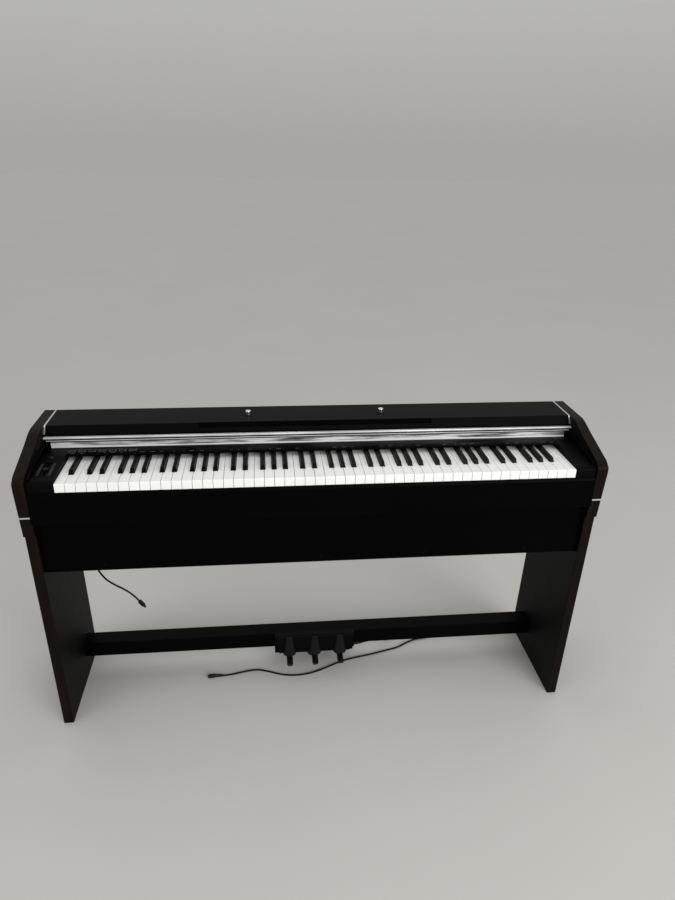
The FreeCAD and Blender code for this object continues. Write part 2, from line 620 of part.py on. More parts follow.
# The short lead hangs from the underside of the cabinet, behind the knee board, and springs to the right.
HANGING_CORD = [
    (-630.0, 252.0, 604.0), (-629.0, 252.0, 570.0), (-626.0, 253.0, 524.0), (-625.0, 253.0, 474.0),
    (-622.0, 254.0, 424.0), (-617.0, 254.0, 378.0), (-607.0, 254.0, 340.0), (-592.0, 254.0, 312.0),
    (-569.0, 253.0, 292.0), (-542.0, 252.0, 275.0), (-519.0, 252.0, 254.0), (-504.0, 252.0, 232.0)]


def tube(route, radius):
    """A cord: straight runs joined by tangent arcs as large as the runs allow."""
    points = [V(*p) for p in route]
    radii = {}
    for i in range(1, len(points) - 1):
        before = points[i - 1] - points[i]
        after = points[i + 1] - points[i]
        half_turn = (math.pi - before.getAngle(after)) / 2
        radii[i] = 0.45 * min(before.Length, after.Length) / math.tan(half_turn)
    wire = Part.Wire(Part.__sortEdges__(rounded_edges(points, radii, False)))
    section = Part.Wire(Part.Circle(points[0], points[1] - points[0], radius).toShape())
    solid = wire.makePipeShell([section], True, True)
    expected = math.pi * radius ** 2 * wire.Length
    print("tube: length %.1f, volume %.1f against %.1f" % (wire.Length, solid.Volume, expected))
    print("  smallest radius %.1f diameters" % (min(radii.values()) / (2 * radius)))
    print("  radii", [round(radii[i]) for i in sorted(radii)])
    return solid


def disc_ring(centre, heading, radius):
    return Part.Wire(Part.Circle(centre, heading, radius).toShape())


def make_cords():
    save("pedal_cord", tube(PEDAL_CORD, CORD_R))
    first = V(*PEDAL_CORD[0])
    wall = V(PEDAL_BOX_HALF_X, first.y, first.z)
    flange_end = wall + V(5.0, 0, 0)
    flange = rod(10.5, wall, flange_end)
    boot = cone(5.5, CORD_R + 1.0, flange_end, first)
    save("pedal_cord_relief", flange.fuse(boot).removeSplitter())

    # the plug lies on the floor, so its neck rises from the cord to the thicker body
    body_r = 6.1
    last, before = V(*PEDAL_CORD[-1]), V(*PEDAL_CORD[-2])
    heading = (last - before).normalize()
    neck_start = V(last.x, last.y, CORD_R + 1.2)
    body_start = last + heading * 25.0
    body_start.z = body_r + 0.1
    neck = Part.makeLoft([disc_ring(neck_start, heading, CORD_R + 1.0),
                          disc_ring(body_start, heading, body_r - 1.2)], True, True)
    body = rod(body_r, body_start, body_start + heading * 17.0)
    body = soften(body, 0.8, lambda e: e.BoundBox.XMax < body_start.x - 5 and e.BoundBox.XLength < 3)
    mouth = rod(body_r - 1.6, body_start + heading * 16.0, body_start + heading * 20.0)
    save("pedal_cord_plug", neck.fuse([body, mouth]).removeSplitter())

    save("hanging_cord", tube(HANGING_CORD, LEAD_R))
    first = V(*HANGING_CORD[0])
    gland = cone(LEAD_GLAND_R, LEAD_R + 1.0, V(first.x, first.y, BED_Z[0] + 4), first)
    save("hanging_cord_relief", gland)
    last, before = V(*HANGING_CORD[-1]), V(*HANGING_CORD[-2])
    heading = (last - before).normalize()
    body = rod(6.0, last, last + heading * 18)
    tip = rod(3.6, last + heading * 18, last + heading * 26)
    save("hanging_cord_plug", body.fuse(tip).removeSplitter())


os.makedirs("parts", exist_ok=True)
make_sides()
make_legs()
make_top()
make_silver_trims()
make_boards()
make_keys()
make_key_frame()
make_insides()
make_cheeks()
make_control_strip()
make_cover()
make_knobs()
make_crossbar()
make_pedal_housing()
for pedal_number in range(3):
    make_pedal(pedal_number)
make_foot()
make_cords()
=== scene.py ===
import math

import bmesh
import bpy
from mathutils import Matrix, Vector


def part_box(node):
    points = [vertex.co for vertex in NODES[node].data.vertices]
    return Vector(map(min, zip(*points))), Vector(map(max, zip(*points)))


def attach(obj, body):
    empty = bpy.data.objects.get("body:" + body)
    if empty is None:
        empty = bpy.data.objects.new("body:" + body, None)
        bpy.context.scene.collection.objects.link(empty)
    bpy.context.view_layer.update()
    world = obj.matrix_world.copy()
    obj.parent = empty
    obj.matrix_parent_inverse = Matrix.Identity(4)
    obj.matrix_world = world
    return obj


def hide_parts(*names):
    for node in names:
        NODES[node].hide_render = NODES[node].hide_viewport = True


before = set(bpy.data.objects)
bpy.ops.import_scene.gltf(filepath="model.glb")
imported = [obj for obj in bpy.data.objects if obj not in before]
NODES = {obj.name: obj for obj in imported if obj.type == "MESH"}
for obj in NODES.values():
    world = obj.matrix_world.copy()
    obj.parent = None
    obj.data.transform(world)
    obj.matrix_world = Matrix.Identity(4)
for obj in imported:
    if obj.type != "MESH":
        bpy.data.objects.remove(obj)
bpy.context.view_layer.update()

# Digital piano on its stand. Metres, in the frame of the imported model. Places that the patterns and
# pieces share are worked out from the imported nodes' boxes.


def low_corner(node):
    """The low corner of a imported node's box."""
    return Vector(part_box(node)[0])


def high_corner(node):
    return Vector(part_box(node)[1])


def middle(node):
    return (low_corner(node) + high_corner(node)) / 2


INNER_X = low_corner("side_panel_right").x
KEY_TOP_Z = high_corner("keys_a").z
KEYS_FRONT_Y = low_corner("keys_a").y
TOP_Z = high_corner("top_board").z
STRIP_TOP_Z = high_corner("function_button_1").z - 0.001
WHITE_PITCH = 0.0235
HOUSING_FACE_Y = KEYS_FRONT_Y + 0.200   # the hoods stand out in front of this
REST_HALF_X = 0.295                     # half length of the music rest's groove
REST_FRONT_Y = KEYS_FRONT_Y + 0.1795    # front of that groove
FLAT_EDGE_Z = TOP_Z - 0.0012            # below this the top board turns down into its facet


# ---- shader helpers ----
class Value:
    """A socket that can be used in Python expressions: each operator adds a Math node."""

    def __init__(self, tree, socket):
        self.tree = tree
        self.socket = socket

    def _math(self, operation, left, right=None):
        node = self.tree.nodes.new("ShaderNodeMath")
        node.operation = operation
        for index, operand in enumerate((left, right)):
            if operand is None:
                continue
            if isinstance(operand, Value):
                self.tree.links.new(operand.socket, node.inputs[index])
            else:
                node.inputs[index].default_value = operand
        return Value(self.tree, node.outputs[0])

    def __add__(self, other):
        return self._math("ADD", self, other)

    def __radd__(self, other):
        return self._math("ADD", other, self)

    def __sub__(self, other):
        return self._math("SUBTRACT", self, other)

    def __rsub__(self, other):
        return self._math("SUBTRACT", other, self)

    def __mul__(self, other):
        return self._math("MULTIPLY", self, other)

    def __rmul__(self, other):
        return self._math("MULTIPLY", other, self)

    def __truediv__(self, other):
        return self._math("DIVIDE", self, other)

    def above(self, level):
        return self._math("GREATER_THAN", self, level)

    def below(self, level):
        return self._math("LESS_THAN", self, level)

    def between(self, low, high):
        return self.above(low) * self.below(high)

    def larger(self, other):
        return self._math("MAXIMUM", self, other)

    def absolute(self):
        return self._math("ABSOLUTE", self)

    def repeat(self):
        return self._math("FRACT", self)


class Finish:
    """A material on one Principled shader, with a method that adds any other node."""

    def __init__(self, name, **uniform):
        self.material = bpy.data.materials.new(name)
        self.material.use_nodes = True
        self.tree = self.material.node_tree
        self.shader = self.tree.nodes["Principled BSDF"]
        for label, value in uniform.items():
            self.shader.inputs[label.replace("_", " ")].default_value = value

    def node(self, kind, settings=None, **inputs):
        node = self.tree.nodes.new(kind)
        for label, value in (settings or {}).items():
            if label == "stops":
                self._stops(node.color_ramp, value)
            else:
                setattr(node, label, value)
        for label, value in inputs.items():
            self.feed(self.pick(node.inputs, label), value)
        return node

    @staticmethod
    def pick(sockets, label):
        """The socket in use with this name."""
        wanted = label.replace("_", " ")
        return next(socket for socket in sockets if socket.name == wanted and socket.enabled)

    @staticmethod
    def _stops(ramp, stops):
        while len(ramp.elements) < len(stops):
            ramp.elements.new(0.5)
        for element, (place, color) in zip(ramp.elements, stops):
            element.position = place
            element.color = (*color, 1.0)

    def feed(self, socket, value):
        if isinstance(value, Value):
            self.tree.links.new(value.socket, socket)
        elif isinstance(value, bpy.types.NodeSocket):
            self.tree.links.new(value, socket)
        else:
            socket.default_value = value

    def place(self):
        """Position on the object."""
        return self.node("ShaderNodeTexCoord").outputs["Object"]

    def axes(self):
        """The three coordinates of the position as values."""
        split = self.node("ShaderNodeSeparateXYZ", Vector=self.place())
        return [Value(self.tree, socket) for socket in split.outputs]

    def stretched(self, scale):
        """The position, stretched so that a noise runs along one axis."""
        return self.node("ShaderNodeMapping", Vector=self.place(), Scale=scale).outputs[0]

    def noise(self, scale, detail=3.0, roughness=0.55, stretch=(1.0, 1.0, 1.0)):
        node = self.node("ShaderNodeTexNoise", Vector=self.stretched(stretch), Scale=scale,
                         Detail=detail, Roughness=roughness)
        return Value(self.tree, node.outputs["Fac"])

    def ramp(self, value, stops):
        return self.node("ShaderNodeValToRGB", {"stops": stops}, Fac=value).outputs["Color"]

    def mix(self, factor, first, second):
        node = self.node("ShaderNodeMix", {"data_type": "RGBA"}, Factor=factor)
        colors = [s for s in node.inputs if s.type == "RGBA"]
        for socket, color in zip(colors, (first, second)):
            if isinstance(color, tuple):
                color = (*color[:3], 1.0)
            self.feed(socket, color)
        return [s for s in node.outputs if s.type == "RGBA"][0]

    def paint(self, color=None, roughness=None, height=None, strength=0.2, depth=0.0005):
        if color is not None:
            self.feed(self.shader.inputs["Base Color"], color)
        if roughness is not None:
            self.feed(self.shader.inputs["Roughness"], roughness)
        if height is not None:
            bump = self.node("ShaderNodeBump", Height=height, Strength=strength, Distance=depth)
            self.tree.links.new(bump.outputs["Normal"], self.shader.inputs["Normal"])
        return self.material


def dark(shade, tint=1.0):
    """A near-black as a linear colour, neutral at a tint of 1 and redder above it."""
    return (shade, shade * (2 - tint), shade * (2 - tint))


# ---- materials ----
GRAIN_UP = (7.0, 7.0, 0.55)             # stretches a noise into grain that runs up the board


def veneer(name, low, high):
    """Dark stained veneer outside and on the edges, plain black foil on the face that looks inward."""
    finish = Finish(name, Specular_IOR_Level=0.08)
    x = finish.axes()[0]
    streaks = finish.noise(9.0, 6.0, 0.62, GRAIN_UP)
    pores = finish.noise(34.0, 3.0, 0.6, GRAIN_UP)
    cloud = finish.noise(3.2, 3.0)
    tone = streaks * 0.65 + cloud * 0.35
    wood = finish.ramp(tone, [(0.32, low), (0.72, high)])
    inward = x.absolute().below(INNER_X + 0.0006)
    color = finish.mix(inward, wood, (0.0012, 0.0011, 0.0011))
    rough = 0.36 + 0.16 * pores + 0.08 * cloud + 0.08 * inward
    return finish.paint(color, rough, streaks * 0.6 + pores * 0.4, 0.16, 0.0004)


def satin_board(name, shade, gloss, specular):
    """Black foil on board: a soft pressed texture, faint handling marks."""
    finish = Finish(name, Specular_IOR_Level=specular, IOR=1.35)
    fine = finish.noise(420.0, 2.0, 0.5)
    cloud = finish.noise(4.5, 4.0, 0.6, (1.0, 1.0, 1.6))
    wipe = finish.noise(16.0, 5.0, 0.65, (1.0, 3.0, 5.0))
    color = finish.ramp(cloud, [(0.3, dark(shade * 0.8)), (0.7, dark(shade * 1.3, 1.02))])
    rough = gloss + 0.10 * cloud + 0.07 * wipe
    return finish.paint(color, rough, fine, 0.10, 0.0002)


def top_foil():
    """The top board: satin on the flat; painted shade makes it darker in the music rest's groove and on the
    front facet.
    """
    finish = Finish("top_board_foil", Specular_IOR_Level=0.07, IOR=1.35)
    x, y, z = finish.axes()
    fine = finish.noise(420.0, 2.0, 0.5)
    cloud = finish.noise(4.0, 4.0, 0.6)
    wipe = finish.noise(14.0, 5.0, 0.65, (0.6, 3.0, 1.0))
    # Painted shade: the front facet below the flat and the music rest's groove get darker colours than the
    # satin.
    flat = z.above(FLAT_EDGE_Z)
    groove = z.below(FLAT_EDGE_Z) * x.absolute().below(REST_HALF_X) * y.above(REST_FRONT_Y)
    satin = finish.ramp(cloud * 0.6 + wipe * 0.4,
                        [(0.3, (0.0016, 0.0016, 0.0018)), (0.7, (0.0034, 0.0034, 0.0036))])
    shaded = finish.mix(flat, (0.0008, 0.0008, 0.0009), satin)
    color = finish.mix(groove, shaded, (0.0006, 0.0006, 0.0006))
    return finish.paint(color, 0.40 + 0.1 * cloud + 0.06 * wipe + 0.3 * groove, fine, 0.10, 0.0002)


def moulded(name, shade, gloss, texture=0.12, scale=900.0, tint=1.0, specular=0.12):
    """Black moulded plastic with a spark-eroded texture and slight dust."""
    finish = Finish(name, Specular_IOR_Level=specular)
    grain = finish.noise(scale, 2.0, 0.5)
    dust = finish.noise(22.0, 5.0, 0.7)
    color = finish.ramp(dust, [(0.35, dark(shade * 0.85, tint)), (0.75, dark(shade * 1.35, tint))])
    rough = gloss + 0.12 * dust + 0.04 * grain
    return finish.paint(color, rough, grain, texture, 0.0002)


def brushed(name, color_low, color_high, rough_low):
    """Brushed metal: long hair lines along X."""
    finish = Finish(name, Metallic=1.0)
    hair = finish.noise(60.0, 5.0, 0.7, (0.25, 9.0, 9.0))
    patches = finish.noise(5.0, 4.0, 0.6, (1.0, 0.4, 6.0))
    color = finish.ramp(hair * 0.5 + patches * 0.5, [(0.3, color_low), (0.7, color_high)])
    rough = rough_low + 0.08 * hair + 0.06 * patches
    return finish.paint(color, rough, hair, 0.06, 0.0002)


def brushed_band():
    """The long fixed band: painted reflections as bright and dark sweeps along it, a painted highlight along
    its foot and painted shade along its top edge.
    """
    finish = Finish("brushed_band", Metallic=0.45, Specular_IOR_Level=0.4)
    z = finish.axes()[2]
    low_z, high_z = low_corner("band_panel").z, high_corner("band_panel").z
    height = (z - low_z) / (high_z - low_z)
    hair = finish.noise(70.0, 5.0, 0.7, (0.10, 9.0, 12.0))
    sweeps = finish.noise(10.0, 3.0, 0.5, (1.0, 1.0, 9.0))
    lines = finish.noise(60.0, 2.0, 0.5, (0.16, 1.0, 6.0))
    tone = sweeps * 0.66 + lines * 0.22 + hair * 0.12
    # Painted reflections as bright and dark sweeps; below, a painted highlight along the foot and painted
    # shade along the top edge.
    painted_reflections = finish.ramp(tone, [(0.37, (0.05, 0.05, 0.054)), (0.47, (0.40, 0.40, 0.41)),
                               (0.56, (0.98, 0.98, 0.99))])
    foot_highlighted = finish.mix(height.below(0.24), painted_reflections, (1.0, 1.0, 1.0))
    color = finish.mix(height.above(0.90), foot_highlighted, (0.03, 0.03, 0.032))
    return finish.paint(color, 0.34 + 0.14 * hair, hair, 0.10, 0.0002)


def silver_lip():
    """The cover's front rail: two bright ribs with painted shade in the groove between them and along the
    bottom edge, and painted reflections as sweeps.
    """
    finish = Finish("silver_lip", Metallic=0.45, Specular_IOR_Level=0.4)
    z = finish.axes()[2]
    hair = finish.noise(70.0, 5.0, 0.7, (0.12, 9.0, 12.0))
    sweeps = finish.noise(6.0, 3.0, 0.5, (1.0, 1.0, 3.0))
    height = z - low_corner("cover_lip").z
    # Painted reflections as sweeps over the brushed hair lines.
    metal = finish.ramp(hair * 0.4 + sweeps * 0.6,
                        [(0.32, (0.34, 0.34, 0.35)), (0.62, (0.95, 0.95, 0.96))])
    # Painted shade in the groove between the ribs and along the bottom edge.
    groove = height.between(0.0036, 0.0074)
    shade = height.below(0.0014).larger(groove)
    color = finish.mix(shade, metal, (0.012, 0.012, 0.013))
    return finish.paint(color, 0.30 + 0.14 * hair, hair, 0.08, 0.0002)


def cheek_with_scale():
    """The left cheek, with fine printed division marks on both sides of the volume slider."""
    finish = Finish("cheek_left_plastic", Specular_IOR_Level=0.04)
    x, y, z = finish.axes()
    grain = finish.noise(900.0, 2.0, 0.5)
    dust = finish.noise(22.0, 5.0, 0.7)
    slider = middle("volume_slider")
    mark_pitch = 0.005
    aside = (x - slider.x).absolute()
    along = y - slider.y
    marks = ((along / mark_pitch + 0.5).repeat() - 0.5).absolute().below(0.09)
    beside = aside.between(0.0100, 0.0165) * along.absolute().below(0.0262)
    scale = marks * beside * z.above(STRIP_TOP_Z - 0.012)
    black = finish.ramp(dust, [(0.35, (0.0007, 0.0007, 0.0008)), (0.75, (0.0016, 0.0016, 0.0017))])
    color = finish.mix(scale, black, (0.14, 0.14, 0.145))
    return finish.paint(color, 0.36 + 0.12 * dust + 0.05 * scale, grain, 0.12, 0.0002)


def control_strip():
    """Gloss black strip: a fine outline round each button and short plain division marks over the keys."""
    finish = Finish("control_strip_gloss", Specular_IOR_Level=0.06, IOR=1.18)
    x, y, z = finish.axes()
    first, last = middle("function_button_1"), middle("function_button_7")
    pitch = (last.x - first.x) / 6
    from_button = ((x - first.x) / pitch + 0.5).repeat() - 0.5
    outside = ((from_button * pitch).absolute() - 0.0076).larger((y - first.y).absolute() - 0.0036)
    over_buttons = x.between(first.x - pitch / 2, last.x + pitch / 2)
    outline = outside.between(0.0, 0.0007) * over_buttons
    from_key = (((x - low_corner("keys_a").x) / WHITE_PITCH).repeat() - 0.5).absolute()
    presence = finish.noise(23.0, 1.0, 0.5, (1.0, 0.0, 0.0)).above(0.5)
    dashes = from_key.below(0.24) * (y - first.y + 0.0115).absolute().below(0.00045) * presence
    rule = (y - first.y - 0.0085).absolute().below(0.0003) * over_buttons
    upward = z.above(STRIP_TOP_Z - 0.0006)
    print_mask = outline.larger(dashes).larger(rule) * upward
    haze = finish.noise(18.0, 5.0, 0.65)
    black = finish.ramp(haze, [(0.3, (0.0008, 0.0008, 0.0009)), (0.75, (0.0020, 0.0020, 0.0021))])
    color = finish.mix(print_mask, black, (0.22, 0.22, 0.225))
    return finish.paint(color, 0.14 + 0.10 * haze + 0.2 * print_mask, haze, 0.02, 0.0002)


def two_tone_knob():
    """A thumb knob: black collar below, polished cap above."""
    finish = Finish("knob_cap_and_collar")
    z = finish.axes()[2]
    haze = finish.noise(60.0, 4.0, 0.6)
    cap = z.above(TOP_Z + 0.0042)
    metal = finish.ramp(haze, [(0.3, (0.66, 0.67, 0.68)), (0.7, (0.82, 0.83, 0.84))])
    color = finish.mix(cap, (0.0040, 0.0040, 0.0042), metal)
    finish.feed(finish.shader.inputs["Metallic"], cap)
    return finish.paint(color, 0.34 - 0.22 * cap + 0.08 * haze, haze, 0.03, 0.0002)


def white_key():
    """Gloss white on top and at the front; the flanks carry painted shade, dark so that the gaps show as
    lines.
    """
    finish = Finish("white_key_gloss", Coat_Weight=0.30, Coat_Roughness=0.10, Specular_IOR_Level=0.45)
    _, y, z = finish.axes()
    tone = finish.noise(7.0, 3.0)
    touch = finish.noise(48.0, 4.0, 0.6)
    ivory = finish.ramp(tone, [(0.3, (0.79, 0.79, 0.78)), (0.7, (0.86, 0.86, 0.85))])
    # Painted shade on the flanks between the keys.
    flank_shade = z.below(KEY_TOP_Z - 0.0022) * y.above(KEYS_FRONT_Y + 0.0016)
    color = finish.mix(flank_shade, ivory, (0.045, 0.045, 0.046))
    return finish.paint(color, 0.22 + 0.14 * touch, touch, 0.03, 0.0002)


def black_key():
    """Satin black, with a fine grain along the key."""
    finish = Finish("black_key_satin", Specular_IOR_Level=0.07, IOR=1.4)
    grain = finish.noise(70.0, 4.0, 0.6, (6.0, 0.6, 6.0))
    touch = finish.noise(40.0, 4.0, 0.6)
    color = finish.ramp(grain, [(0.3, (0.0007, 0.0007, 0.0008)), (0.7, (0.0020, 0.0020, 0.0022))])
    return finish.paint(color, 0.24 + 0.16 * touch, grain, 0.08, 0.0002)


def speaker_cone():
    """Pressed black paper with fibres."""
    finish = Finish("speaker_paper", Specular_IOR_Level=0.3)
    fibres = finish.noise(240.0, 5.0, 0.7)
    color = finish.ramp(fibres, [(0.3, (0.010, 0.010, 0.010)), (0.7, (0.026, 0.026, 0.026))])
    return finish.paint(color, 0.62 + 0.2 * fibres, fibres, 0.4, 0.0006)


def circuit_board():
    """Green lacquer over copper tracks."""
    finish = Finish("circuit_lacquer", Specular_IOR_Level=0.5)
    x, _, z = finish.axes()
    lanes = ((x * 180.0).repeat().above(0.72)).larger((z * 190.0).repeat().above(0.8))
    blotch = finish.noise(30.0, 2.0).above(0.5)
    tracks = lanes * blotch
    color = finish.mix(tracks, (0.012, 0.075, 0.028), (0.035, 0.16, 0.06))
    return finish.paint(color, 0.36 + 0.14 * blotch, tracks, 0.3, 0.0003)


def plain_board(name):
    """Unfaced hardboard on the hidden sides."""
    finish = Finish(name, Specular_IOR_Level=0.25)
    chips = finish.noise(130.0, 5.0, 0.72)
    cloud = finish.noise(7.0, 3.0)
    color = finish.ramp(chips * 0.7 + cloud * 0.3,
                        [(0.3, (0.055, 0.039, 0.027)), (0.7, (0.12, 0.088, 0.06))])
    return finish.paint(color, 0.68 + 0.18 * chips, chips, 0.35, 0.0005)


def pedal_housing():
    """Black housing with a fine moulded texture; the three hoods that stand out of it are smoother and carry
    a painted sheen, a lighter colour than the body.
    """
    finish = Finish("pedal_housing_plastic", Specular_IOR_Level=0.10, IOR=1.35)
    y = finish.axes()[1]
    grain = finish.noise(700.0, 2.0, 0.5)
    dust = finish.noise(22.0, 5.0, 0.7)
    body = finish.ramp(dust, [(0.35, (0.0007, 0.0007, 0.0008)), (0.75, (0.0018, 0.0018, 0.0019))])
    # Painted sheen: the hoods get a lighter colour than the body, and a lower roughness.
    hood = y.below(HOUSING_FACE_Y - 0.0005)
    color = finish.mix(hood, body, (0.0085, 0.0085, 0.0090))
    return finish.paint(color, 0.46 + 0.08 * dust - 0.20 * hood, grain, 0.12, 0.0002)


def zinc():
    """Bright zinc plating with a slight haze."""
    finish = Finish("zinc_screw", Metallic=1.0)
    haze = finish.noise(60.0, 4.0, 0.6)
    color = finish.ramp(haze, [(0.3, (0.60, 0.61, 0.62)), (0.7, (0.74, 0.75, 0.76))])
    return finish.paint(color, 0.30 + 0.10 * haze, haze, 0.03, 0.0002)


def rubber(name, shade):
    """Matt black rubber with dust in it."""
    finish = Finish(name, Specular_IOR_Level=0.15)
    skin = finish.noise(300.0, 3.0, 0.6)
    dust = finish.noise(30.0, 4.0, 0.7)
    color = finish.ramp(dust, [(0.3, dark(shade * 0.8)), (0.75, dark(shade * 1.6, 1.02))])
    return finish.paint(color, 0.46 + 0.18 * dust, skin, 0.15, 0.0002)


WOOD_SIDE = veneer("dark_walnut_sides", (0.0012, 0.0006, 0.0004), (0.0100, 0.0046, 0.0026))
WOOD_LEG = veneer("dark_walnut_legs", (0.0010, 0.0005, 0.0004), (0.0080, 0.0034, 0.0022))
BOARD_BLACK = satin_board("satin_black_foil", 0.0007, 0.34, 0.04)
BOARD_KNEE = satin_board("knee_board_foil", 0.0006, 0.30, 0.04)
BAR_BLACK = satin_board("crossbar_foil", 0.0008, 0.34, 0.06)
CHEEK_BLACK = moulded("cheek_plastic", 0.0008, 0.36, specular=0.04)
COVER_GLOSS = moulded("cover_gloss", 0.0016, 0.18, 0.03)
BUTTON_BLACK = moulded("button_plastic", 0.0050, 0.30, specular=0.2)
PLUG_BLACK = moulded("plug_plastic", 0.0060, 0.34, 0.1, 1200.0)
RELIEF_RED = moulded("relief_plastic", 0.0150, 0.40, 0.1, 1200.0, 1.6)
RAIL_BLACK = moulded("rail_plastic", 0.0014, 0.44, specular=0.05)
FRAME_GREY = moulded("key_frame_plastic", 0.0120, 0.50)
GRILLE_BLACK = moulded("grille_plastic", 0.0080, 0.46, 0.2, 800.0)
TRIM_SILVER = brushed("silver_trim", (0.52, 0.52, 0.53), (0.80, 0.80, 0.81), 0.26)
STEEL = brushed("ground_steel", (0.42, 0.42, 0.43), (0.58, 0.58, 0.59), 0.24)
SCREW_STEEL = zinc()
PEDAL_PAINT = moulded("pedal_lacquer", 0.0100, 0.20, 0.04, 400.0, 1.5, 0.3)
CORD_RUBBER = rubber("cord_rubber", 0.0012)
FOOT_RUBBER = rubber("foot_rubber", 0.0100)

NODE_MATERIALS = {
    "side_panel_left": WOOD_SIDE, "side_panel_right": WOOD_SIDE, "leg_left": WOOD_LEG, "leg_right": WOOD_LEG,
    "top_board": top_foil(), "case_front": BOARD_BLACK, "knee_board": BOARD_KNEE,
    "crossbar_top": BAR_BLACK, "crossbar_aprons": BAR_BLACK, "rear_panel": plain_board("rear_hardboard"),
    "key_bed": plain_board("key_bed_board"), "silver_trims": TRIM_SILVER, "cover_lip": silver_lip(),
    "band_panel": brushed_band(), "cheek_left": cheek_with_scale(), "cheek_right": CHEEK_BLACK,
    "screw_caps": CHEEK_BLACK, "guide_rails": RAIL_BLACK, "control_panel": control_strip(),
    "cover_front": COVER_GLOSS, "cover_rear": COVER_GLOSS, "key_frame": FRAME_GREY,
    "key_pivot_rod": STEEL, "pedal_axle": STEEL, "circuit_boards": circuit_board(),
    "speakers": speaker_cone(), "pedal_housing": pedal_housing(), "volume_slider": BUTTON_BLACK,
    "power_button": BUTTON_BLACK, "adjuster_foot": FOOT_RUBBER,
    "pedal_cord_relief": RELIEF_RED, "pedal_cord_plug": PLUG_BLACK,
    "hanging_cord_relief": PLUG_BLACK, "hanging_cord_plug": PLUG_BLACK,
}


def dress_cad_nodes():
    """Gives each CAD node with a listed material its material; the others keep the one they came with."""
    white, black, knob = white_key(), black_key(), two_tone_knob()
    for name, node in NODES.items():
        material = NODE_MATERIALS.get(name)
        if name.startswith("keys_"):
            material = black if name.endswith("_sharp") else white
        elif name.startswith("pedal_") and material is None:
            material = PEDAL_PAINT
        elif name.startswith("function_button"):
            material = BUTTON_BLACK
        elif name.startswith("thumb_knob"):
            material = knob
        if material is None:
            continue
        node.data.materials.clear()
        node.data.materials.append(material)


# ---- modelling helpers ----
def select_only(obj):
    bpy.ops.object.select_all(action="DESELECT")
    obj.select_set(True)
    bpy.context.view_layer.objects.active = obj


SMOOTH_ANGLE = math.radians(35.0)


def finish_piece(obj, name, material, body):
    """Puts a finished piece at the origin, smooths it, and lets it ride on its body."""
    select_only(obj)
    bpy.ops.object.transform_apply(location=True, rotation=True, scale=True)
    bpy.ops.object.shade_smooth_by_angle(angle=SMOOTH_ANGLE)
    obj.name = name
    obj.data.name = name
    obj.data.materials.clear()
    obj.data.materials.append(material)
    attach(obj, body)
    return obj


def rounded_block(low, high, bevel, segments):
    """A block between two corners with its edges rounded."""
    low, high = Vector(low), Vector(high)
    bpy.ops.object.select_all(action="DESELECT")
    bpy.ops.mesh.primitive_cube_add(size=1.0, location=(low + high) / 2)
    block = bpy.context.object
    block.scale = high - low
    bpy.ops.object.transform_apply(location=False, rotation=False, scale=True)
    bpy.ops.object.mode_set(mode="EDIT")
    bpy.ops.mesh.select_all(action="SELECT")
    bpy.ops.mesh.bevel(offset=bevel, segments=segments, affect="EDGES")
    bpy.ops.object.mode_set(mode="OBJECT")
    return block


# ---- cords ----
# The same routes as in the CAD source, measured there from the keys' front: x, y, height in mm.
FLOOR_Z = 2.7
PEDAL_ROUTE = [
    (145, 240, 49), (165, 248, 48), (186, 260, 40), (207, 277, 26), (228, 297, 11),
    (252, 320, FLOOR_Z), (280, 345, FLOOR_Z), (309, 368, FLOOR_Z), (340, 386, FLOOR_Z), (371, 382, FLOOR_Z),
    (393, 361, FLOOR_Z), (400, 333, FLOOR_Z), (390, 310, FLOOR_Z), (364, 301, FLOOR_Z), (331, 298, FLOOR_Z),
    (298, 283, FLOOR_Z), (266, 262, FLOOR_Z), (222, 251, FLOOR_Z), (175, 237, FLOOR_Z), (118, 226, FLOOR_Z),
    (70, 209, FLOOR_Z), (22, 184, FLOOR_Z), (-18, 169, FLOOR_Z), (-62, 164, FLOOR_Z), (-100, 171, FLOOR_Z),
    (-134, 186, FLOOR_Z), (-170, 199, FLOOR_Z), (-208, 194, FLOOR_Z), (-248, 183, FLOOR_Z),
    (-272, 181, FLOOR_Z)]
HANGING_ROUTE = [
    (-630, 252, 604), (-629, 252, 570), (-626, 253, 524), (-625, 253, 474), (-622, 254, 424),
    (-617, 254, 378), (-607, 254, 340), (-592, 254, 312), (-569, 253, 292), (-542, 252, 275),
    (-519, 252, 254), (-504, 252, 232)]


def cord_curve(name, route, radius):
    curve = bpy.data.curves.new(name, "CURVE")
    curve.dimensions = "3D"
    curve.resolution_u = 16
    curve.bevel_depth = radius
    curve.bevel_resolution = 5
    curve.use_fill_caps = True
    spline = curve.splines.new("NURBS")
    spline.points.add(len(route) - 1)
    for point, (x, y, z) in zip(spline.points, route):
        point.co = (x / 1000, y / 1000 + KEYS_FRONT_Y, z / 1000, 1.0)
    spline.order_u = 3
    spline.use_endpoint_u = True
    cord = bpy.data.objects.new(name, curve)
    bpy.context.scene.collection.objects.link(cord)
    curve.materials.append(CORD_RUBBER)
    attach(cord, "cabinet")
    return cord


def make_cords():
    pedal = cord_curve("pedal_lead", PEDAL_ROUTE, 0.0026)
    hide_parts("pedal_cord")
    hanging = cord_curve("hanging_lead", HANGING_ROUTE, 0.0026)
    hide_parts("hanging_cord")


# ---- trim pieces ----
def pick_faces(obj, wanted):
    """Selects the faces for which wanted(centre, normal) is true. The object is in edit mode."""
    bpy.ops.mesh.select_mode(type="FACE")
    bpy.ops.mesh.select_all(action="DESELECT")
    mesh = bmesh.from_edit_mesh(obj.data)
    for face in mesh.faces:
        face.select_set(bool(wanted(face.calc_center_median(), face.normal)))
    bmesh.update_edit_mesh(obj.data)


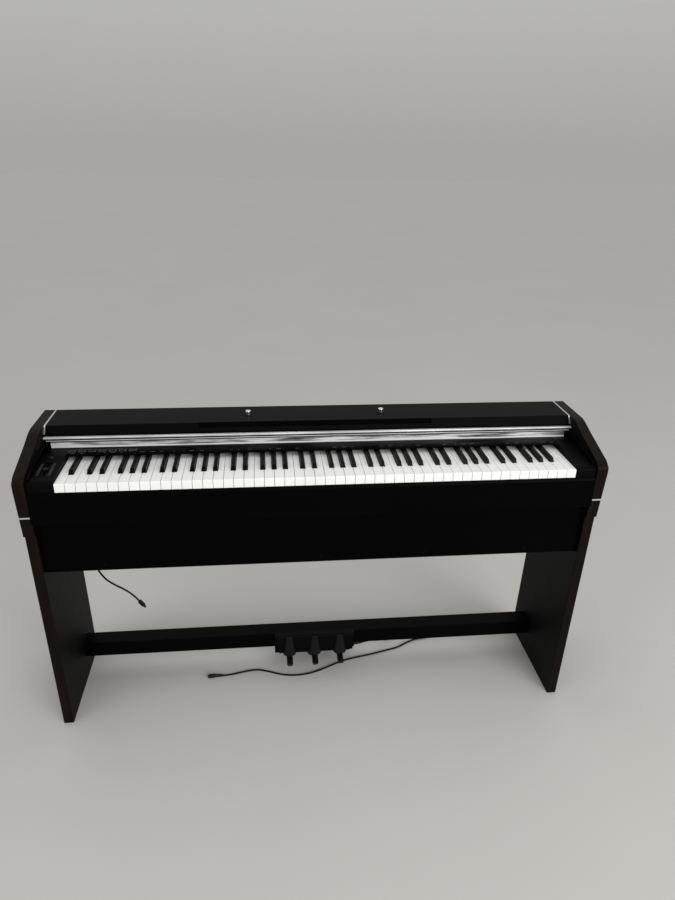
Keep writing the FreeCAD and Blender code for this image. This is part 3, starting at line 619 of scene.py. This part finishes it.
def turned_disc(radius, thickness, place, axis, vertices):
    """A flat disc that grows from place along axis, left in edit mode."""
    bpy.ops.object.select_all(action="DESELECT")
    turn = Vector(axis).to_track_quat("Z", "Y").to_euler()
    bpy.ops.mesh.primitive_cylinder_add(vertices=vertices, radius=radius, depth=thickness,
                                        location=Vector(place) + Vector(axis) * thickness / 2, rotation=turn)
    disc = bpy.context.object
    bpy.ops.object.transform_apply(location=True, rotation=True, scale=True)
    bpy.ops.object.mode_set(mode="EDIT")
    return disc


def copy_to(source, name, move, body):
    """A copy with its own mesh, moved in its mesh."""
    twin = source.copy()
    twin.data = source.data.copy()
    twin.data.transform(Matrix.Translation(move))
    twin.name = name
    twin.data.name = name
    bpy.context.scene.collection.objects.link(twin)
    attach(twin, body)
    return twin


SCREW_R = 0.0042
SCREW_T = 0.0012
SCREW_INSET = 0.012         # from the edges of the rear panel
SCREW_SINK = 0.0014         # how far a head's seat lies inside the panel's face
SCREW_COLUMNS = 5


def screw_head(name, place, axis):
    """A screw head: a flat rim, a raised crown and a round recess in the middle."""
    axis = Vector(axis)
    head = turned_disc(SCREW_R, SCREW_T, place, axis, 24)
    pick_faces(head, lambda centre, normal: normal.dot(axis) > 0.9)
    bpy.ops.mesh.inset(thickness=SCREW_R * 0.28, depth=0.0004)
    bpy.ops.mesh.inset(thickness=SCREW_R * 0.34, depth=0.0)
    bpy.ops.mesh.inset(thickness=SCREW_R * 0.08, depth=-0.0009)
    bpy.ops.object.mode_set(mode="OBJECT")
    return finish_piece(head, name, SCREW_STEEL, "cabinet")


def make_rear_screws():
    """Two rows of screws along the rear panel, set in so that they stay inside its face."""
    low, high = low_corner("rear_panel"), high_corner("rear_panel")
    place = (low.x + SCREW_INSET, high.y - SCREW_SINK, low.z + SCREW_INSET)
    first = screw_head("rear_screw_1", place, (0, 1, 0))
    pitch = (high.x - low.x - 2 * SCREW_INSET) / (SCREW_COLUMNS - 1)
    rise = high.z - low.z - 2 * SCREW_INSET
    moves = [Vector((column * pitch, 0, up)) for up in (0, rise) for column in range(SCREW_COLUMNS)]
    for number, move in enumerate(moves[1:], start=2):
        copy_to(first, "rear_screw_%d" % number, move, "cabinet")


GRILLE_R = 0.056
GRILLE_T = 0.0022           # before the rim's edge is raised
GRILLE_BARS = 11
BAR_PITCH = 0.0085
BAR_HALF_W = 0.0016
BAR_REACH = 0.049           # the bars end on this radius, under the rim
BAR_DROP = (0.0030, 0.0012)  # lower and upper side of the bars, below the key bed


def make_grille(name, x, y):
    """A round slotted grille under the key bed: a rim with crossbars, all one mesh."""
    under_z = low_corner("key_bed").z
    rim = turned_disc(GRILLE_R, GRILLE_T, (x, y, under_z - 0.0001), (0, 0, -1), 64)
    pick_faces(rim, lambda centre, normal: normal.z < -0.9)
    bpy.ops.mesh.inset(thickness=0.0012, depth=0.0006)
    bpy.ops.mesh.inset(thickness=0.0045, depth=0.0)
    bpy.ops.mesh.inset(thickness=0.0010, depth=-0.0013)
    bpy.ops.object.mode_set(mode="OBJECT")
    bars = []
    for bar in range(GRILLE_BARS):
        offset = (bar - GRILLE_BARS // 2) * BAR_PITCH
        half = math.sqrt(BAR_REACH ** 2 - offset ** 2)
        low = (x - half, y + offset - BAR_HALF_W, under_z - BAR_DROP[0])
        high = (x + half, y + offset + BAR_HALF_W, under_z - BAR_DROP[1])
        bars.append(rounded_block(low, high, 0.0005, 2))
    bpy.ops.object.select_all(action="DESELECT")
    for part in [rim] + bars:
        part.select_set(True)
    bpy.context.view_layer.objects.active = rim
    bpy.ops.object.join()
    return finish_piece(rim, name, GRILLE_BLACK, "cabinet")


def make_grilles():
    low, high = low_corner("speakers"), high_corner("speakers")
    radius = (high.y - low.y) / 2
    left = make_grille("speaker_grille_left", low.x + radius, middle("speakers").y)
    apart = Vector((high.x - low.x - 2 * radius, 0, 0))
    copy_to(left, "speaker_grille_right", apart, "cabinet")


# ---- stage ----
CAMERA_PLACE = Vector((-0.13051, -1.59063, 1.45307))
CAMERA_YAW = math.radians(-6.521)
CAMERA_PITCH = math.radians(24.181)
CAMERA_ROLL = math.radians(-1.295)
LENS = 27.44


def make_camera():
    data = bpy.data.cameras.new("camera")
    data.lens = LENS
    data.sensor_fit = "VERTICAL"
    data.sensor_height = 36.0
    camera = bpy.data.objects.new("camera", data)
    turn = Matrix.Rotation(CAMERA_YAW, 4, "Z")
    turn = turn @ Matrix.Rotation(-CAMERA_PITCH, 4, "X")
    turn = turn @ Matrix.Rotation(CAMERA_ROLL, 4, "Y")
    upright = Matrix.Rotation(math.radians(90), 4, "X")
    camera.matrix_world = Matrix.Translation(CAMERA_PLACE) @ turn @ upright
    bpy.context.scene.collection.objects.link(camera)
    bpy.context.scene.camera = camera


def make_stage():
    finish = Finish("pale_floor", Specular_IOR_Level=0.25)
    tone = finish.noise(1.2, 3.0)
    color = finish.ramp(tone, [(0.3, (0.475, 0.465, 0.450)), (0.7, (0.495, 0.485, 0.470))])
    floor_material = finish.paint(color, 0.60 + 0.1 * tone)
    bpy.ops.object.select_all(action="DESELECT")
    bpy.ops.mesh.primitive_plane_add(size=60.0, location=(0.0, 0.0, -0.0004))
    floor = bpy.context.object
    floor.name = "floor"
    floor.data.materials.append(floor_material)


def area_light(name, place, target, size, power, color):
    data = bpy.data.lights.new(name, "AREA")
    data.shape = "RECTANGLE"
    data.size, data.size_y = size
    data.energy = power
    data.color = color
    light = bpy.data.objects.new(name, data)
    light.location = place
    light.rotation_euler = (Vector(target) - Vector(place)).to_track_quat("-Z", "Y").to_euler()
    bpy.context.scene.collection.objects.link(light)


def make_world():
    """A soft dome: as bright as the floor at the horizon, brighter overhead."""
    world = bpy.data.worlds.new("studio")
    world.use_nodes = True
    nodes, links = world.node_tree.nodes, world.node_tree.links
    direction = nodes.new("ShaderNodeTexCoord")
    split = nodes.new("ShaderNodeSeparateXYZ")
    links.new(direction.outputs["Generated"], split.inputs[0])
    dome = nodes.new("ShaderNodeValToRGB")
    dome.color_ramp.elements[0].color = (0.385, 0.380, 0.368, 1.0)
    dome.color_ramp.elements[1].color = (0.95, 0.95, 0.94, 1.0)
    links.new(split.outputs["Z"], dome.inputs["Fac"])
    links.new(dome.outputs["Color"], nodes["Background"].inputs["Color"])
    bpy.context.scene.world = world


def make_lights():
    area_light("window_light", (1.9, -3.6, 2.1), (0.0, 0.0, 0.6), (3.0, 2.0), 122.0, (1.0, 0.985, 0.96))
    area_light("fill_light", (-3.4, -2.4, 1.8), (0.0, 0.0, 0.5), (2.4, 2.0), 26.0, (0.96, 0.98, 1.0))
    bpy.context.scene.view_settings.view_transform = "Standard"


make_camera()
make_cords()
dress_cad_nodes()
make_rear_screws()
make_grilles()
make_stage()
make_world()
make_lights()
